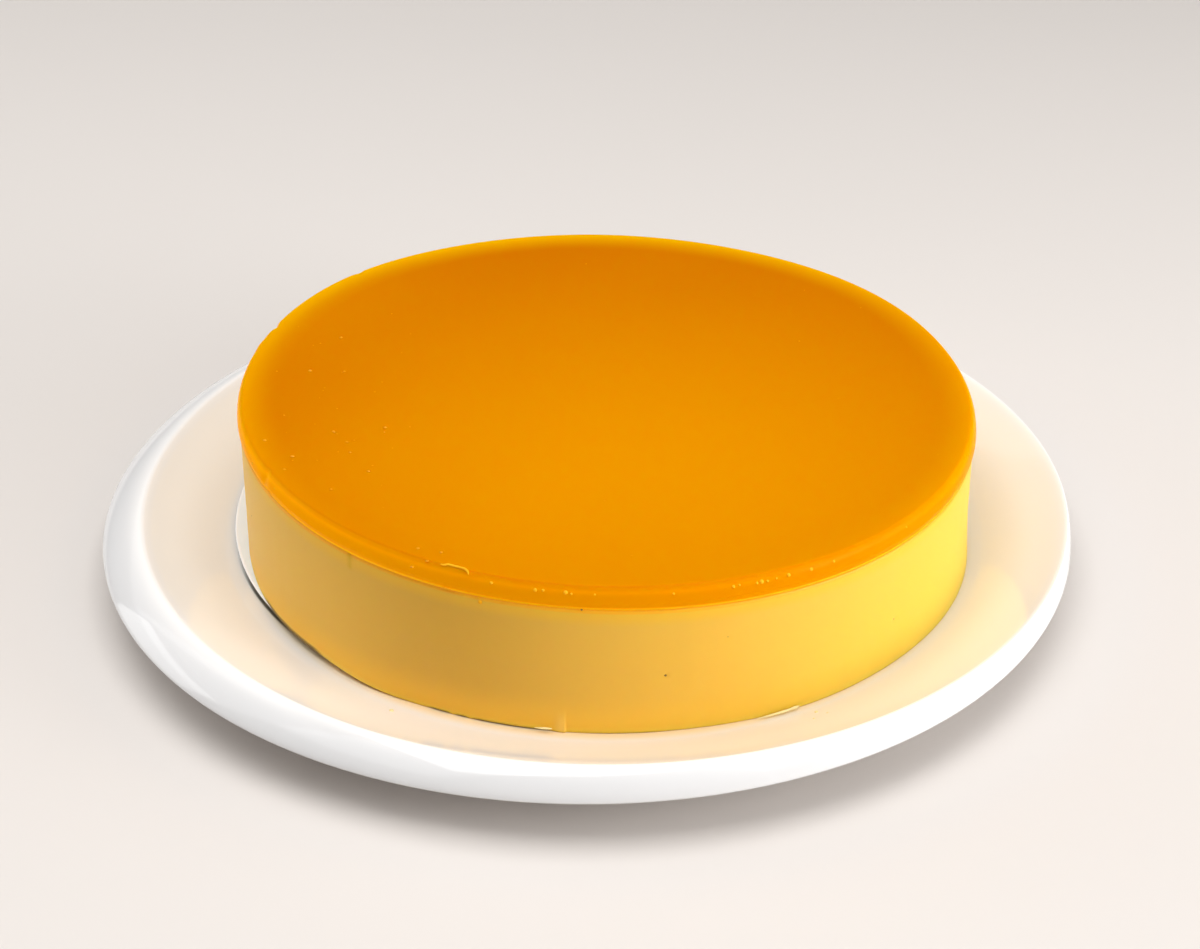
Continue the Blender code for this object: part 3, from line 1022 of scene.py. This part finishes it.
def syrup():
    """Clear wet syrup, pale yellow over the white plate and painted lighter for its wet highlight.
    """
    return speckled("wet_syrup", (1.0, 0.90, 0.52), (1.0, 0.82, 0.34), 300.0,
                    roughness=0.05, ior=1.42)


def fleck():
    """A dark olive fleck of fruit."""
    return speckled("dark_fleck", (0.30, 0.16, 0.015), (0.16, 0.09, 0.012), 2000.0,
                    roughness=0.5)


def dress(piece, paint, node=None):
    """Give a piece its material and its body, and the CAD node that it replaces."""
    piece.data.materials.append(paint.material)
    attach(piece, "root")
    if node:
        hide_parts(node)


# -------- camera, light and floor

# The camera, from the middle of the cake's foot, which shows so far below its top
SHOWN_HEIGHT = 32.1 * MM
EYE = Vector((-4.1, -430.2, 266.2)) * MM
AIM = Vector((-1.5, 0.0, 11.5)) * MM
ROLL = math.radians(0.04)
NEAREST, FARTHEST = 0.01, 50.0
# In Blender's own millimetres
LENS, SENSOR_WIDTH = 71.96, 36.0

# Square lights aimed at the cake: name, degrees round, degrees up, distance, side and watts
LIGHTS = (
    ("low_window", 65.0, 10.0, 1.0, 0.4, 5.7),
    ("side_window", 88.0, 8.0, 1.0, 0.4, 2.7),
    ("high_window", 50.0, 35.0, 1.0, 0.5, 1.9),
    ("right_back_window", 115.0, 40.0, 1.0, 0.5, 0.2),
    ("left_window", -105.0, 40.0, 1.0, 0.6, 1.0),
    ("low_left_window", -105.0, 15.0, 1.0, 0.5, 1.5),
    ("left_back_window", -140.0, 40.0, 1.0, 0.6, 0.6),
    ("left_ceiling", -60.0, 60.0, 1.0, 0.6, 1.3),
    ("ceiling", 0.0, 86.0, 0.9, 0.8, 6.55),
)
ROOM_STRENGTH = 0.08

GROUND_RADIUS, GROUND_BELOW = 6.0, 0.05 * MM


def aimed(eye, aim, roll=0.0):
    """A world matrix at eye looking at aim, turned anticlockwise about the view by roll."""
    forward = (aim - eye).normalized()
    right = forward.cross(Vector(UPWARD)).normalized()
    up = right.cross(forward)
    turned_right = right * math.cos(roll) + up * math.sin(roll)
    turned_up = up * math.cos(roll) - right * math.sin(roll)
    axes = Matrix((turned_right, turned_up, -forward)).transposed()
    return Matrix.Translation(eye) @ axes.to_4x4()


def add_camera():
    """The photograph's viewing angle: about 30 degrees down from half a metre away."""
    foot = Vector((*cake_centre, CAKE_TOP_Z - SHOWN_HEIGHT))
    data = bpy.data.cameras.new("camera")
    data.sensor_width = SENSOR_WIDTH
    data.lens = LENS
    data.clip_start, data.clip_end = NEAREST, FARTHEST
    camera = bpy.data.objects.new("camera", data)
    camera.matrix_world = aimed(foot + EYE, foot + AIM, ROLL)
    bpy.context.scene.collection.objects.link(camera)
    bpy.context.scene.camera = camera


def add_light(name, right_of_front, elevation, distance, size, power):
    """A square soft light aimed at the cake, placed by degrees round from the front and up."""
    target = Vector((*cake_centre, CAKE_BASE_Z))
    way = Vector(outward(right_of_front, math.radians(90.0 - elevation)))
    data = bpy.data.lights.new(name, "AREA")
    data.shape = "SQUARE"
    data.size = size
    data.energy = power
    light = bpy.data.objects.new(name, data)
    light.matrix_world = aimed(target + distance * way, target)
    bpy.context.scene.collection.objects.link(light)


def add_lights():
    """Soft windows low at the right, a weaker one at the left, soft light above, a pale room."""
    for light in LIGHTS:
        add_light(*light)
    world = bpy.data.worlds.new("pale_room")
    world.use_nodes = True
    background = world.node_tree.nodes["Background"]
    background.inputs["Color"].default_value = (1.0, 1.0, 1.0, 1.0)
    background.inputs["Strength"].default_value = ROOM_STRENGTH
    bpy.context.scene.world = world


def add_floor():
    """A large plain pale disc under the plate."""
    turn = around(96)
    points = turned(GROUND_RADIUS, -GROUND_BELOW, turn, (0.0, 0.0))
    floor = mesh_object("floor", [(points, [np.arange(len(turn))[None, :]])], smooth=False)
    paint = speckled("pale_floor", (0.78, 0.73, 0.69), (0.75, 0.70, 0.66), 3.0, roughness=0.6)
    floor.data.materials.append(paint.material)


# -------- the scene

add_camera()
add_lights()
add_floor()
dress(make_plate(), glaze(), "plate")
dress(make_board(), card(), "cake_board")
dress(make_mousse(), mousse(), "mousse")
dress(make_jelly(), jelly(), "jelly")
bubble_chance = np.random.default_rng(BUBBLE_SEED)
# Jelly with painted glints, for the edge bubbles and the curl
bright = glint()
dress(make_top_bubbles(bubble_chance), bubble())
dress(make_edge_bubbles(bubble_chance), bright)
dress(make_jelly_curl(), bright)
dress(make_beads(), syrup())
dress(make_flecks(), fleck())

bpy.context.scene.view_settings.view_transform = "Standard"
